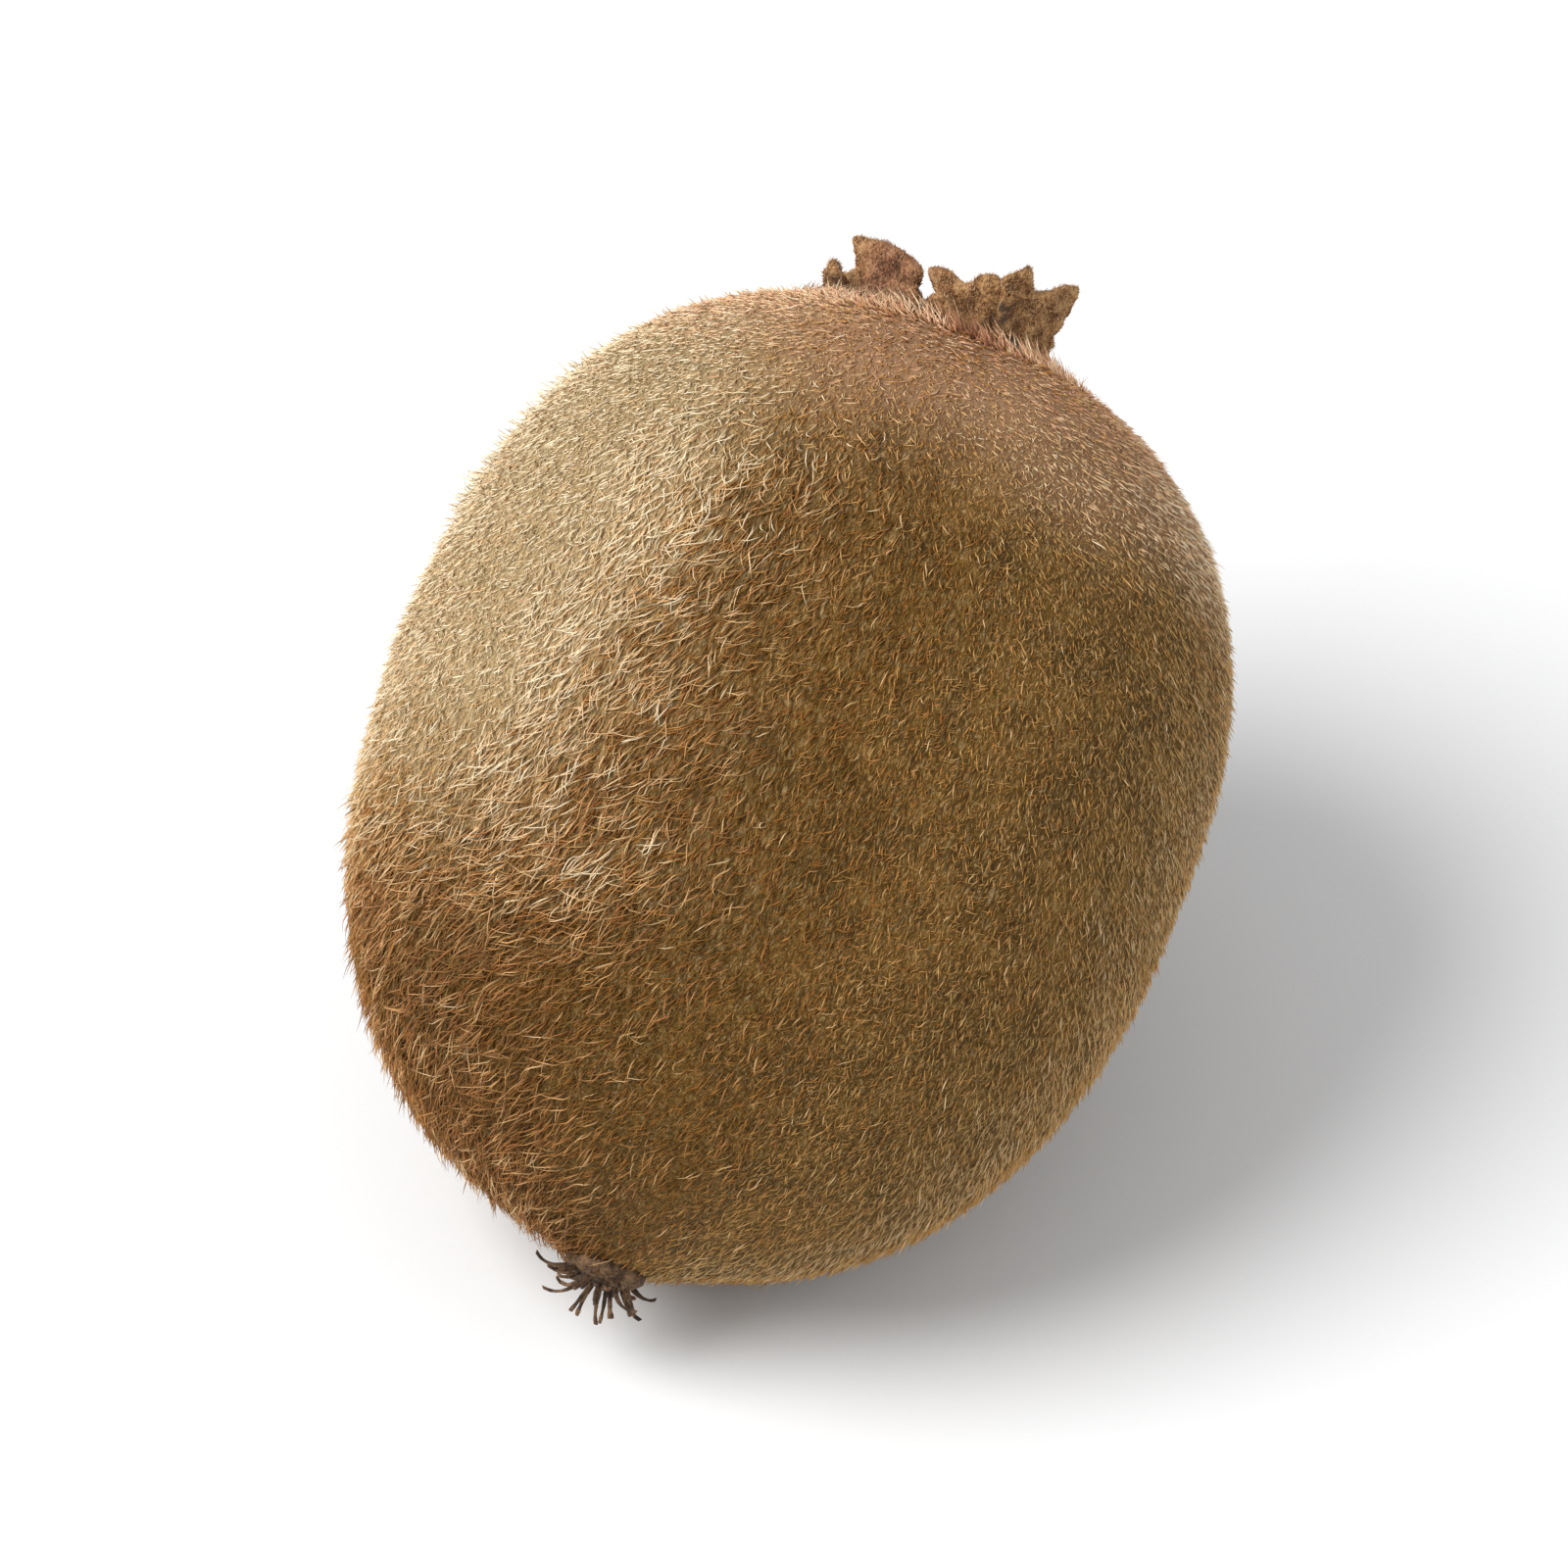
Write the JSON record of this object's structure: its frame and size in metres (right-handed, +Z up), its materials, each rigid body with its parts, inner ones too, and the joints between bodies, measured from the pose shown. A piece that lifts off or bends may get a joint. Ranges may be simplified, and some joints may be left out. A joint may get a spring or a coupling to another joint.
{
  "type": "kiwi fruit",
  "caption": "Whole oval fruit with fuzzy brown skin, a crown of dried sepals round its stem scar, dried styles at the other end and a flat spot to rest on.",
  "frame": {"origin": "on the surface that the fruit rests on, under the middle of its box", "axes": "+Z up; +X the way the stem end leans, so the core line lies in the XZ plane and rises 34 degrees towards +X; +Y across the fruit"},
  "size_m": [0.0658, 0.054, 0.0565],
  "materials": {
    "skin": "matt olive-brown skin under a dense golden-brown fuzz",
    "dried_sepals": "dry, velvety and crumbly, reddish-brown to blackish",
    "dried_styles": "dry and matt, blackish-brown"
  },
  "bodies": {
    "root": {"fruit": "skin", "calyx": "dried_sepals", "dried_styles": "dried_styles"}
  },
  "joints": []
}
